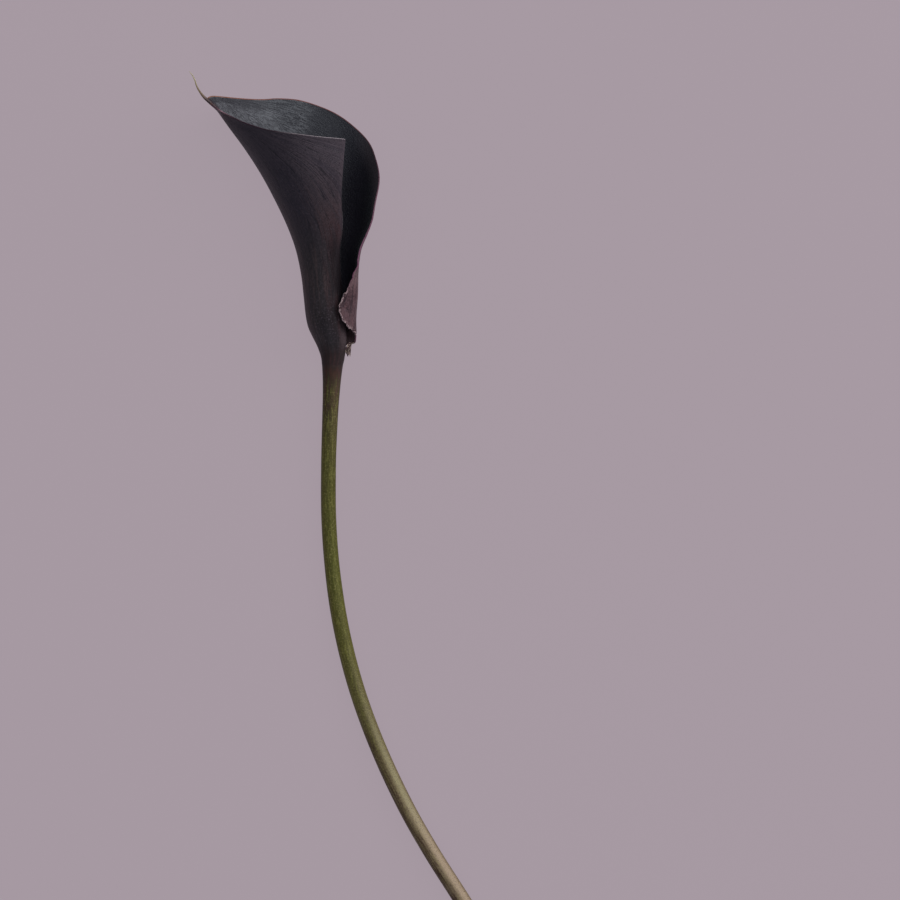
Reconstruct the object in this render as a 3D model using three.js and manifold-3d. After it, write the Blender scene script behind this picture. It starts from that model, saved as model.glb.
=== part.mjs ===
// A cut calla lily flower, lying on its back on a flat surface: a curved stem, the spathe (one
// sheet rolled into a trumpet and drawn out into a tail at its tip) and the spadix inside it.
//
// Millimetres and degrees. The model is laid out from the base of the bloom: +Y runs up the
// bloom, +X to the side that the stem swings out to, and +Z up from the surface it lies on.
// "Height" below is a distance up the bloom along Y. A turn is an angle round the bloom: 0 is
// the midrib, on the -X side, 90 the back that lies on the surface, 180 the +X side, and -90
// the front that faces up.
import * as THREE from 'three';
import { mergeVertices } from 'three/addons/utils/BufferGeometryUtils.js';
import Module from 'manifold-3d';

// ---- driving dimensions ----------------------------------------------------------------------

// From the base of the bloom to the middle of the flower's bounding box, the model's origin.
const BASE_FROM_ORIGIN = new THREE.Vector3(-9.5, 78.1, 0);

const SHEET = {
  thickness: 0.95,
  marginThickness: 0.65,
  wrapStep: 1.5, // how far one full turn of the sheet stands off the turn inside it
  firstColumns: 7, // columns from the inner margin to the fold
  flapColumns: 21, // from the fold to the midrib
  backColumns: 34, // from the midrib to the outer margin
  rows: 26,
  rowCrowding: 1.2, // rows stand closer together towards the foot
  flapCrowding: 1.6, // the flap's columns towards its fold
  backCrowding: 0.4, // the back's towards the tip and the lapped lobe
  lastTurn: 251, // the outer margin, lapped over the front
  rimRoll: 1.2, // how far the rim rolls outwards
  rimWave: 0.35, // how far it waves in and out
  waves: 11, // waves in a full turn
  softness: 0.25, // how gently the back flattens on the surface
};

// Outline of the trumpet in front view: [height, x] of the midrib side and of the far side.
const MIDRIB_SIDE = profile([
  [0, -6.0], [3, -7.1], [7, -9.1], [11, -10.9], [16, -12.0], [24, -12.9], [34, -14.1], [45, -16.4],
  [55, -20.0], [66, -25.1], [77, -31.0], [87, -37.4], [98, -45.1], [106, -51.0], [111, -55.9],
]);
const FAR_SIDE = profile([
  [0, 5.9], [3, 6.8], [7, 8.4], [11, 9.6], [16, 10.2], [24, 10.7], [36, 11.2], [45, 12.6],
  [52, 15.4], [60, 17.9], [71, 19.7], [82, 21.3], [98, 23.2], [111, 24.3],
]);

// [height, half of the trumpet's depth] and [height, how far its back is above the surface].
const HALF_DEPTH = profile([
  [0, 6.0], [3, 6.9], [7, 8.5], [11, 9.9], [16, 10.8], [30, 11.9], [45, 13.8], [60, 17.2], [76, 20.8],
  [92, 23.0], [106, 23.8], [111, 23.9],
]);
const BACK_CLEARANCE = profile([
  [0, 3.0], [16, 2.2], [30, 2.4], [45, 2.1], [60, 1.2], [76, 0], [88, -0.7], [111, -0.9],
]);
// How much the section narrows to a gutter along the midrib: 0 is an ellipse.
const GUTTER = profile([[50, 0], [80, 0.2], [98, 0.45], [111, 0.72]]);
// Where the front flap starts to turn inwards, over how much of a turn it does, and how much of
// its radius it turns in by.
const FOLD_TURN = profile([[15, -90], [30, -95], [45, -103], [60, -106], [75, -109], [95, -117]]);
const FOLD_SPREAD = profile([[20, 60], [30, 50], [45, 38], [60, 28], [95, 24]]);
const ROLL_IN = profile([[8, 0], [16, 0.14], [25, 0.4], [33, 0.5], [55, 0.56], [75, 0.56], [95, 0.5]]);

// Upper margin of the sheet: [turn, height]. It climbs from the corner of the front flap to the
// tip at turn 0, crosses the back and comes down the far side to the lapped front lobe.
const UPPER_MARGIN = profile([
  [-127, 91.8], [-110, 92.3], [-95, 92.8], [-78, 93.8], [-60, 95.8], [-48, 97.9], [-38, 100.1],
  [-28, 102.6], [-18, 104.6], [-9, 105.8], [0, 107.6], [8, 110.4], [14, 111.6], [22, 112.3], [34, 112.0],
  [48, 111.6], [62, 111.7], [76, 112.1], [86, 111.3], [93, 110.5], [102, 108.4], [111, 105.7],
  [120, 102.4], [130, 97.8], [141, 92.5], [150, 87.2], [161, 81.0], [170, 73.6], [178, 63.0],
  [186, 51.2], [193, 43.8], [203, 38.4], [213, 35.4], [220, 32.6], [225, 29.0], [230, 26.6],
  [238, 24.6], [245, 22.0], [251, 19.8],
]);
// Lower margin: attached round the stem up to turn 180, free below the lapped lobe.
const LOWER_MARGIN = profile([
  [-205, 0.2], [170, 0.2], [175, 0.4], [184, 6.9], [192, 8.3], [206, 9.4], [222, 10.4], [236, 12.6],
  [244, 14.8], [251, 17.6],
]);
// Where the inner margin runs: [share of the way up, turn].
const INNER_MARGIN = profile([[0, -205], [0.3, -188], [0.5, -168], [0.75, -150], [0.9, -140], [1, -131]]);

// The tail that the midrib runs out into: heights of its root on the midrib, then free points.
const TAIL = {
  rootHeights: [102, 105.4],
  points: [
    [-53.6, 108.6, 23.1], [-55.8, 110.9, 23.4], [-57.6, 113.5, 24.1], [-58.7, 116.1, 24.9],
    [-59.7, 118.4, 25.7], [-60.7, 120.2, 26.5], [-62.1, 121.4, 27.3],
  ],
  // By share of its length.
  radius: profile([[0, 0.3], [0.2, 0.5], [0.32, 0.95], [0.45, 0.95], [0.65, 0.7], [1, 0.4]]),
  steps: 18,
  sides: 8,
};

const STEM = {
  top: -0.15,
  cutEnd: -276,
  // How far its axis is to the side, by height.
  side: profile([
    [-276, 78.2], [-258, 67.0], [-240, 55.6], [-220, 42.8], [-200, 31.5], [-175, 19.8], [-150, 10.6],
    [-125, 4.0], [-100, -0.1], [-75, -2.1], [-50, -2.3], [-30, -1.6], [-15, -0.8], [0, 0],
  ]),
  radius: profile([
    [-276, 3.8], [-235, 3.65], [-190, 3.6], [-160, 3.5], [-110, 3.42], [-90, 3.3], [0, 3.3],
  ]),
  // How much it swells under the bloom, and how far it stands clear of the surface there.
  collar: profile([[-45, 0], [-32, 0.2], [-22, 0.45], [-11, 1.1], [-5, 1.55], [-2, 2.0], [0, 2.65]]),
  lift: profile([[-130, 0], [-95, 0.4], [-60, 1.6], [-30, 3.2], [-11, 4.9], [0, 5.75]]),
  steps: 44,
  crowding: 1.3, // sections stand closer together towards the bloom
  sides: 16,
  coreRadius: 2.9, // the top of the stem, inside the wrapped foot of the spathe
  coreTop: 8.0,
};

const SPADIX = {
  bottom: 9.0,
  top: 60,
  radius: profile([[9, 3.1], [14, 3.7], [24, 3.7], [28, 3.2], [40, 3.3], [54, 2.9], [60, 1.4]]),
  floretHeight: 0.4,
  floretsAround: 8,
  floretRows: 20,
  sides: 24,
};

const COLOURS = { stem: 0x6a6a35, spathe: 0x2b242b, spadix: 0x6d4a3a };

// ---- curves and solids -----------------------------------------------------------------------

// A smooth curve through [key, value] pairs, flat past both ends.
function profile(pairs) {
  const slopeOver = (i, j) => (pairs[j][1] - pairs[i][1]) / (pairs[j][0] - pairs[i][0]);
  const last = pairs.length - 1;
  const slopes = pairs.map((_, i) => slopeOver(Math.max(i - 1, 0), Math.min(i + 1, last)));
  return (key) => {
    if (key <= pairs[0][0]) return pairs[0][1];
    if (key >= pairs[last][0]) return pairs[last][1];
    const i = pairs.findIndex((pair) => pair[0] > key) - 1;
    const span = pairs[i + 1][0] - pairs[i][0];
    const s = (key - pairs[i][0]) / span;
    const rise = pairs[i + 1][1] - pairs[i][1];
    const early = (slopes[i] * span - rise) * (1 - s);
    const late = (rise - slopes[i + 1] * span) * s;
    return pairs[i][1] + rise * s + s * (1 - s) * (early + late);
  };
}

const smoothStep = (s) => THREE.MathUtils.smoothstep(s, 0, 1);

// A closed geometry from rings of points, each ring joined to the next and the ends capped.
function loft(rings) {
  const sides = rings[0].length;
  const middle = (ring) => ring.reduce((sum, p) => sum.add(p), new THREE.Vector3()).divideScalar(sides);
  const points = [...rings.flat(), middle(rings[0]), middle(rings[rings.length - 1])];
  const faces = [];
  for (let k = 0; k < sides; k++) {
    const next = (k + 1) % sides;
    for (let i = 0; i + 1 < rings.length; i++) {
      const [a, b] = [i * sides + k, i * sides + next];
      faces.push(a, b + sides, b, a, a + sides, b + sides);
    }
    const last = (rings.length - 1) * sides;
    faces.push(points.length - 2, k, next, points.length - 1, last + next, last + k);
  }
  return new THREE.BufferGeometry().setFromPoints(points).setIndex(faces);
}

// A ring of points about a centre, square to a direction, with a flat side downwards.
function ringAt(centre, direction, sides, radiusAt) {
  const across = direction.clone().cross(new THREE.Vector3(0, 0, 1)).normalize();
  const above = across.clone().cross(direction).normalize();
  return Array.from({ length: sides }, (_, k) => {
    const turn = ((k + 0.5) / sides) * 2 * Math.PI;
    return centre.clone()
      .addScaledVector(across, radiusAt(turn) * Math.cos(turn))
      .addScaledVector(above, radiusAt(turn) * Math.sin(turn));
  });
}

// A round rod along a curve. radius(share, turn) is read at each share of the curve's length.
function rod(curve, steps, sides, radius) {
  return loft(Array.from({ length: steps + 1 }, (_, i) => {
    const share = i / steps;
    const sized = (turn) => radius(share, turn);
    return ringAt(curve.getPointAt(share), curve.getTangentAt(share), sides, sized);
  }));
}

// ---- spathe ----------------------------------------------------------------------------------

// The middle of the trumpet at a height. The far side is half a turn further out along the wrap.
function sheetCentre(height) {
  const x = (MIDRIB_SIDE(height) + FAR_SIDE(height) - SHEET.wrapStep / 2) / 2;
  return new THREE.Vector3(x, height, BACK_CLEARANCE(height) + HALF_DEPTH(height));
}

// The middle of the sheet at a turn and a height.
function sheetPoint(turn, height, share) {
  const angle = THREE.MathUtils.degToRad(turn);
  const wall = SHEET.thickness;
  const inset = wall / 2 + SHEET.wrapStep / 4;
  const halfWidth = (FAR_SIDE(height) - MIDRIB_SIDE(height)) / 2 - inset;
  const halfDepth = HALF_DEPTH(height) - inset;
  const centre = sheetCentre(height);
  const rolled = smoothStep((FOLD_TURN(height) - turn) / FOLD_SPREAD(height));
  const keep = 1 - ROLL_IN(height) * rolled;
  const rim = share ** 8 * (1 - rolled) * smoothStep(halfWidth / 12 - 0.8) * SHEET.rimRoll;
  const wave = share ** 8 * SHEET.rimWave * Math.sin(angle * SHEET.waves) * smoothStep((turn - 60) / 60);
  const off = (SHEET.wrapStep * turn) / 360 + rim + wave;
  const gutter = 1 - GUTTER(height) * Math.max(Math.cos(angle), 0) ** 2;
  const x = centre.x - (halfWidth * keep + off) * Math.cos(angle);
  const z = centre.z - (halfDepth * keep + off) * Math.sin(angle) * gutter;
  return new THREE.Vector3(x, height, wall / 2 + flattened(z - wall / 2));
}

// A height above the surface, kept from going below it.
function flattened(z) {
  return z > 20 * SHEET.softness ? z : SHEET.softness * Math.log1p(Math.exp(z / SHEET.softness));
}

// u runs across the sheet from its inner margin (0) by the fold and the midrib to its outer
// margin (1), and v from the foot (0) to the upper margin (1).
function sheetAt(u, v) {
  const { firstColumns, flapColumns, backColumns, lastTurn } = SHEET;
  const column = u * (firstColumns + flapColumns + backColumns);
  const rise = v ** SHEET.rowCrowding;
  const flapHeight = rise * UPPER_MARGIN(FOLD_TURN(95));
  const foldEnd = FOLD_TURN(flapHeight) - FOLD_SPREAD(flapHeight) * (1 - 0.6 * v ** 4);
  const inner = Math.min(INNER_MARGIN(v), foldEnd - 1);
  let turn;
  if (column < firstColumns) turn = THREE.MathUtils.lerp(inner, foldEnd, column / firstColumns);
  else if (column < firstColumns + flapColumns) {
    turn = foldEnd * (1 - ((column - firstColumns) / flapColumns) ** SHEET.flapCrowding);
  } else {
    const share = (column - firstColumns - flapColumns) / backColumns;
    turn = lastTurn * (share - (SHEET.backCrowding * Math.sin(2 * Math.PI * share)) / (2 * Math.PI));
  }
  const height = THREE.MathUtils.lerp(LOWER_MARGIN(turn), UPPER_MARGIN(turn), rise);
  return sheetPoint(turn, height, v);
}

function sheetNormal(u, v) {
  const step = 1e-3;
  const [u0, u1] = [Math.max(u - step, 0), Math.min(u + step, 1)];
  const [v0, v1] = [Math.max(v - step, 0), Math.min(v + step, 1)];
  const across = sheetAt(u1, v).sub(sheetAt(u0, v));
  const along = sheetAt(u, v1).sub(sheetAt(u, v0));
  return along.cross(across).normalize();
}

// The sheet with its thickness: one closed slab, both faces split along the same diagonals.
function sheetGeometry() {
  const columns = SHEET.firstColumns + SHEET.flapColumns + SHEET.backColumns;
  const { rows } = SHEET;
  const [outer, inner] = [[], []];
  for (let j = 0; j <= rows; j++) {
    for (let i = 0; i <= columns; i++) {
      const [u, v] = [i / columns, j / rows];
      const toMargin = Math.min(1, 12 * u, 12 * (1 - u), 10 * (1 - v));
      const half = THREE.MathUtils.lerp(SHEET.marginThickness, SHEET.thickness, toMargin) / 2;
      const normal = sheetNormal(u, v);
      outer.push(sheetAt(u, v).addScaledVector(normal, half));
      inner.push(sheetAt(u, v).addScaledVector(normal, -half));
    }
  }
  const faces = [];
  const quad = (a, b, c, d) => faces.push(a, b, c, a, c, d);
  const at = (i, j) => j * (columns + 1) + i;
  const under = outer.length;
  for (let j = 0; j < rows; j++) {
    for (let i = 0; i < columns; i++) {
      const [a, b, c, d] = [at(i, j), at(i + 1, j), at(i + 1, j + 1), at(i, j + 1)];
      faces.push(a, c, b, a, d, c);
      faces.push(under + a, under + b, under + c, under + a, under + c, under + d);
    }
    const [a, b] = [at(0, j), at(0, j + 1)];
    quad(a, under + a, under + b, b);
    const [c, d] = [at(columns, j), at(columns, j + 1)];
    quad(c, d, under + d, under + c);
  }
  for (let i = 0; i < columns; i++) {
    const [a, b] = [at(i, 0), at(i + 1, 0)];
    quad(a, b, under + b, under + a);
    const [c, d] = [at(i, rows), at(i + 1, rows)];
    quad(c, under + c, under + d, d);
  }
  return new THREE.BufferGeometry().setFromPoints([...outer, ...inner]).setIndex(faces);
}

function tailGeometry() {
  const root = TAIL.rootHeights.map((height) => sheetPoint(0, height, 0.8));
  const free = TAIL.points.map((point) => new THREE.Vector3(...point));
  const curve = new THREE.CatmullRomCurve3([...root, ...free]);
  return rod(curve, TAIL.steps, TAIL.sides, TAIL.radius);
}

// ---- stem ------------------------------------------------------------------------------------

function stemGeometry() {
  const { side, radius, collar, lift, steps, crowding, sides } = STEM;
  // A flat of the many-sided section faces down, so its middle is this share of a radius up.
  const flat = Math.cos(Math.PI / sides);
  const centreAt = (y) => new THREE.Vector3(side(y), y, radius(y) * flat + lift(y));
  const heights = Array.from({ length: steps + 1 }, (_, i) => (
    THREE.MathUtils.lerp(STEM.top, STEM.cutEnd, (i / steps) ** crowding)
  ));
  const curve = new THREE.CatmullRomCurve3(heights.map(centreAt));
  const rings = curve.points.map((centre, i) => {
    const direction = i === 0 ? new THREE.Vector3(0, 1, 0) : curve.getTangent(i / steps).negate();
    return ringAt(centre, direction, sides, () => radius(centre.y) + collar(centre.y));
  }).reverse();
  const top = curve.points[0];
  const coreTop = sheetCentre(STEM.coreTop);
  const upwards = coreTop.clone().sub(top).normalize();
  const coreRadius = () => STEM.coreRadius;
  rings.push(ringAt(top, upwards, sides, coreRadius));
  rings.push(ringAt(coreTop, upwards, sides, coreRadius));
  return loft(rings);
}

// ---- spadix ----------------------------------------------------------------------------------

function spadixGeometry() {
  const { bottom, top, radius, floretHeight, floretsAround, floretRows, sides } = SPADIX;
  const heights = [bottom, (bottom + top) / 2, top];
  const curve = new THREE.CatmullRomCurve3(heights.map(sheetCentre));
  // The florets stand in rows, each row set between the florets of the row below.
  const relief = (share, turn) => {
    const row = share * floretRows - 0.25;
    const ends = smoothStep(share * floretRows) * smoothStep((1 - share) * floretRows);
    return floretHeight * Math.cos(Math.PI * row) * Math.cos(floretsAround * turn) * ends;
  };
  const size = (share, turn) => radius(THREE.MathUtils.lerp(bottom, top, share)) + relief(share, turn);
  return rod(curve, floretRows * 2, sides, size);
}

// ---- the flower ------------------------------------------------------------------------------

const wasm = await Module();
wasm.setup();

function toSolid(geometry) {
  const bare = new THREE.BufferGeometry()
    .setAttribute('position', geometry.getAttribute('position'))
    .setIndex(geometry.getIndex());
  const merged = mergeVertices(bare, 1e-4);
  return new wasm.Manifold(new wasm.Mesh({
    numProp: 3,
    vertProperties: merged.attributes.position.array,
    triVerts: new Uint32Array(merged.index.array),
  }));
}

function toGeometry(solid) {
  const { vertProperties, triVerts, numProp, numVert } = solid.getMesh();
  const positions = new Float32Array(numVert * 3);
  for (let i = 0; i < numVert; i++) {
    positions.set(vertProperties.subarray(i * numProp, i * numProp + 3), i * 3);
  }
  const geometry = new THREE.BufferGeometry();
  geometry.setAttribute('position', new THREE.BufferAttribute(positions, 3));
  geometry.setIndex(new THREE.BufferAttribute(triVerts, 1));
  geometry.computeVertexNormals();
  return geometry;
}

function piece(name, geometry, color, roughness) {
  const mesh = new THREE.Mesh(geometry, new THREE.MeshStandardMaterial({ color, roughness, metalness: 0 }));
  mesh.name = name;
  return mesh;
}

const spatheSolid = toSolid(sheetGeometry()).add(toSolid(tailGeometry()));

const flower = new THREE.Group();
flower.add(
  piece('stem', toGeometry(toSolid(stemGeometry())), COLOURS.stem, 0.5),
  piece('spathe', toGeometry(spatheSolid), COLOURS.spathe, 0.55),
  piece('spadix', toGeometry(toSolid(spadixGeometry())), COLOURS.spadix, 0.8),
);
flower.position.copy(BASE_FROM_ORIGIN);

export default flower;
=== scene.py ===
"""A cut calla lily flower, lying on its back on a plain floor.

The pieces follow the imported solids' own dimensions, with finer meshes: the spathe (one rolled
sheet), its tail, the stem, the spadix and a withered scrap at the foot of the lapped lobe.

Lengths in the tables below are millimetres from the base of the bloom, and are turned into
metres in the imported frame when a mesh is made. "Height" is a distance up the bloom along Y.
A turn is an angle round the bloom in degrees: 0 is the midrib, on the -X side, 90 the back on
the floor, 180 the +X side, and -90 the front that faces up.
"""

import math

import bmesh
import bpy
import numpy as np
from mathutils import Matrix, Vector


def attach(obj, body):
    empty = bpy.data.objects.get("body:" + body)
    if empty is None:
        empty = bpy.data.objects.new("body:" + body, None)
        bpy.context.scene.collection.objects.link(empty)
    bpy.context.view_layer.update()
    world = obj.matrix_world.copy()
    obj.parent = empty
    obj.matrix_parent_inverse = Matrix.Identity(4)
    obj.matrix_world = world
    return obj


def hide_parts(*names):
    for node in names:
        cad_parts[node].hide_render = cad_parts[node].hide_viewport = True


bl_info = {
    "name": "Calla Lily Flower",
    "version": (1, 0, 0),
    "blender": (4, 5, 0),
    "location": "View3D > Sidebar > Calla",
    "description": "Builds a cut calla lily flower around its packed solids",
    "category": "Add Mesh",
}

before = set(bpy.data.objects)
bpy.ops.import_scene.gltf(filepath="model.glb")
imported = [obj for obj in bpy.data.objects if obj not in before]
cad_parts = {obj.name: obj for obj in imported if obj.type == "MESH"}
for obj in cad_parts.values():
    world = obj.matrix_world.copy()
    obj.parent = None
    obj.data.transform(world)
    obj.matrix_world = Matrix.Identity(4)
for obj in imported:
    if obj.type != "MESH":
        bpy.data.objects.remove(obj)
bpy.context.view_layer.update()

MM = 0.001
BASE = np.array([-9.5, 78.1, 0.0])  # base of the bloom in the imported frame


# ---- curves ----

def profile(pairs):
    """A smooth curve through (key, value) pairs, flat past both ends."""
    keys, values = np.array(pairs, float).T
    ahead = np.minimum(np.arange(len(keys)) + 1, len(keys) - 1)
    behind = np.maximum(np.arange(len(keys)) - 1, 0)
    slopes = (values[ahead] - values[behind]) / (keys[ahead] - keys[behind])

    def at(key):
        key = np.clip(key, keys[0], keys[-1])
        i = np.clip(np.searchsorted(keys, key, "right") - 1, 0, len(keys) - 2)
        span = keys[i + 1] - keys[i]
        s = (key - keys[i]) / span
        rise = values[i + 1] - values[i]
        early = (slopes[i] * span - rise) * (1 - s)
        late = (rise - slopes[i + 1] * span) * s
        return values[i] + rise * s + s * (1 - s) * (early + late)

    return at


def smooth_step(s, low=0.0, high=1.0):
    """0 up to low, 1 from high on, and a smooth climb between them."""
    s = np.clip((s - low) / (high - low), 0, 1)
    return s * s * (3 - 2 * s)


def mix(a, b, share):
    """A value between two."""
    return a + (b - a) * share


def ripple(x, waves):
    """A sum of sine waves: (waves per unit, strength, start) each."""
    return sum(strength * np.sin(2 * np.pi * (rate * x + start)) for rate, strength, start in waves)


def crowded(share, strength):
    """Shares from 0 to 1, drawn towards both ends."""
    return share - strength * np.sin(2 * np.pi * share) / (2 * np.pi)


def unit(vectors):
    """The same directions with a length of 1."""
    return vectors / np.linalg.norm(vectors, axis=-1, keepdims=True)


# ---- spathe: sizes ----

THICKNESS = 0.95
WRAP_STEP = 1.5  # how far one full turn of the sheet stands off the turn inside it
FOOT = -7.0  # the sheet thins out to nothing here, on the skin of the stem
BLOOM_HEIGHT = 112.0  # a point's "rise" is its height as a share of this
LAST_TURN = 251.0  # the outer margin, lapped over the front
FLAP_SHARE, BACK_SHARE = 7 / 62, 28 / 62  # where the flap and the back start across the sheet
ROW_CROWDING = 1.2  # rows stand closer together towards the foot
FLAP_CROWDING = 1.6  # the flap's columns towards its fold
BACK_CROWDING = 0.4  # the back's towards the tip and the lapped lobe
RIM_ROLL = 1.2  # how far the rim rolls outwards
RIM_WAVE, WAVES = 0.35, 11  # how far it waves in and out, and how often in a full turn
RIM_SHARPNESS = 8  # how closely the roll and the waves keep to the rim
SOFTNESS = 1.0  # how gently the back flattens on the floor

# Outline of the trumpet seen from above: (height, x) of the midrib's side and of the far side.
MIDRIB_SIDE = profile([
    (-7, -4.72), (-5, -4.95), (-3, -5.17), (-1, -5.6), (0, -5.95), (3, -7.1), (7, -9.1),
    (11, -10.9), (16, -11.95), (24, -12.8), (34, -13.95), (45, -16.3), (55, -19.9), (66, -25),
    (77, -30.8), (87, -36.9), (98, -44.6), (106, -50.1), (111, -55),
])
FAR_SIDE = profile([
    (-7, 4.08), (-5, 4.65), (-3, 5.4), (-1, 6.1), (0, 6.5), (3, 7.3), (7, 8.5), (11, 9.6),
    (16, 10.3), (24, 11), (36, 11.4), (45, 12.6), (52, 15.3), (58, 17.05), (63.4, 17.6),
    (67, 18.15), (71, 19.1), (76, 20.2), (82, 21.1), (98, 23.2), (111, 24.3),
])
# (height, half of the trumpet's depth) and (height, how far its back is above the floor).
HALF_DEPTH = profile([
    (-7, 4.4), (-5, 4.72), (-3, 5.02), (-1, 5.53), (0, 5.95), (3, 6.9), (7, 8.5), (11, 9.9),
    (16, 10.8), (30, 11.9), (45, 13.8), (60, 17.3), (76, 21.2), (92, 23.8), (106, 24.8), (111, 24.9),
])
BACK_CLEARANCE = profile([
    (-7, 4.06), (-5, 3.89), (-3, 3.74), (-1, 3.38), (0, 3.05), (16, 2.2), (30, 2.4), (45, 2.1),
    (60, 0.8), (76, -0.9), (88, -2.2), (111, -2.9),
])
# By height: how much the section narrows to a gutter along the midrib. 0 is an ellipse.
GUTTER = profile([(50, 0), (80, 0.2), (98, 0.45), (111, 0.72)])
# By height: the turn where the front flap starts to roll in, over how many degrees it does so, and
# by what share of its radius.
FOLD_TURN = profile([(15, -90), (30, -95), (45, -103), (60, -106), (75, -109), (95, -117)])
FOLD_SPREAD = profile([(20, 60), (30, 50), (45, 38), (60, 28), (95, 24)])
ROLL_IN = profile([
    (1, 0), (4, 0.02), (8, 0.14), (12, 0.26), (16, 0.3), (25, 0.42), (33, 0.5), (55, 0.55), (68, 0.53),
    (78, 0.545), (95, 0.5),
])
# (turn, height) of the margins. The upper one climbs from the flap's corner past the tip, at turn 0,
# crosses the back and comes down the far side to the lobe. The lower one leaves the foot there.
UPPER_MARGIN = profile([
    (-127, 91.8), (-110, 92.4), (-95, 93.1), (-78, 94.4), (-67, 95.3), (-58, 96.35), (-48, 98.15),
    (-38, 100.25), (-28, 102.7), (-18, 104.9), (-9, 106.7), (0, 108.5), (8, 110.3), (14, 111.4),
    (22, 112.2), (34, 112.2), (48, 111.9), (58, 111.75), (68, 111.8), (76, 112.2), (86, 111.95),
    (93, 111.15), (102, 108.9), (111, 106.05), (120, 102.5), (130, 97.8), (141, 92.1), (150, 87.1),
    (161, 81), (170, 73.6), (178, 63), (184, 53.6), (188, 47.8), (191, 43.8), (195, 40.6),
    (202, 37.8), (209, 35.2), (217, 32.4), (225, 29.6), (232, 27.4), (238, 25.2), (244, 22.8),
    (248, 21.3), (251, 20),
])
LOWER_MARGIN = profile([
    (-228, FOOT), (120, FOOT), (128, -3), (134, 1.5), (142, 3), (152, 3.5), (168, 3.8),
    (175, 4.4), (180, 5.4), (186, 6.8), (194, 7.5), (204, 8.4), (214, 9.4), (225, 10.6),
    (234, 11.9), (241, 13.9), (246, 15.9), (251, 17.5),
])
# Where the inner margin runs: (share of the way up, turn).
INNER_MARGIN = profile([(0, -228), (0.3, -190), (0.5, -168), (0.75, -150), (0.9, -140), (1, -131)])
# (height, how far the outer turn stands off below the lobe).
LIP = profile([
    (0, 0), (2, 1.6), (4, 2.5), (5.3, 2.35), (7.5, 1.85), (9, 1.4), (11.4, 0.7), (14, 0.25), (18, 0),
])
# The lobe's margins: creases as (waves per degree, strength, start), how ragged the upper and the
# lower one are, and how far and how deep they curl and crinkle.
LOBE_CREASES = [(1 / 17, 0.5, 0.15), (1 / 9.7, 0.3, 0.6), (1 / 31, 0.5, 0.35), (1 / 5.3, 0.22, 0.2)]
UPPER_RAG, LOWER_RAG = 0.55, 0.5
LOBE_CURL, LOBE_CRINKLE = 0.45, 0.5
UPPER_CURL_DEPTH, LOWER_CURL_DEPTH = 2.2, 1.8
RIBS = [(0.31, 0.5, 0.1), (0.43, 0.3, 0.6), (0.19, 0.4, 0.3)]  # waves per degree of a vein's lane
# How far from the margins they are rounded, and the ribs and the wall reach their full size.
ROUNDING, RIB_FADE, WALL_FADE = 0.3, 4.0, 9.0
MARGIN_CROWDING = (0.9, 0.85)  # how the mesh's columns and rows crowd towards the margins


# ---- spathe: form ----

def fullness(height):
    """How much of its thickness and wrap the sheet has at a height, from 0 at its foot."""
    return smooth_step(height, FOOT, 5.0)


def sheet_centre(height):
    """The middle of the trumpet's section at a height."""
    x = (MIDRIB_SIDE(height) + FAR_SIDE(height) - WRAP_STEP * fullness(height) / 2) / 2
    return np.stack([x, height, BACK_CLEARANCE(height) + HALF_DEPTH(height)], -1)


def flattened(z):
    """A height above the floor, kept from going below it."""
    clear = 20 * SOFTNESS
    low = SOFTNESS * np.log1p(np.exp(np.minimum(z, clear) / SOFTNESS))
    return np.where(z > clear, z, low)


def vein_lane(turn, height):
    """Which vein a point of the sheet is on. Veins start level and follow the margin to the tip."""
    lowest, bend = 80, 0.95
    reach = np.clip(height / np.maximum(UPPER_MARGIN(turn), lowest), 0, 1)
    start = turn / np.sqrt(1 - bend * reach ** 2)
    crowding = 150  # beyond this start, in degrees, veins are set closer together
    return crowding * np.arctan(start / crowding)


def sheet_point(turn, height, share):
    """The middle of the sheet at a turn and a height, at a share of the way up."""
    angle = np.radians(turn)
    wrap = WRAP_STEP * fullness(height)
    inset = THICKNESS / 2 * fullness(height) + wrap / 4
    half_width = (FAR_SIDE(height) - MIDRIB_SIDE(height)) / 2 - inset
    half_depth = HALF_DEPTH(height) - inset
    centre = sheet_centre(height)
    rolled = smooth_step((FOLD_TURN(height) - turn) / FOLD_SPREAD(height))
    keep = 1 - ROLL_IN(height) * rolled
    by_rim = share ** RIM_SHARPNESS
    rim = by_rim * (1 - rolled) * smooth_step(half_width, 9.6, 21.6) * RIM_ROLL
    wave = by_rim * RIM_WAVE * np.sin(angle * WAVES) * smooth_step(turn, 60, 120)
    off = wrap * turn / 360 + rim + wave + lobe_curl(turn, share) + lip(turn, height)
    gutter = 1 - GUTTER(height) * np.maximum(np.cos(angle), 0) ** 2
    x = centre[..., 0] - (half_width * keep + off) * np.cos(angle)
    z = centre[..., 2] - (half_depth * keep + off) * np.sin(angle) * gutter
    return np.stack([x, height, THICKNESS / 2 + flattened(z - THICKNESS / 2)], -1)


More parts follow.
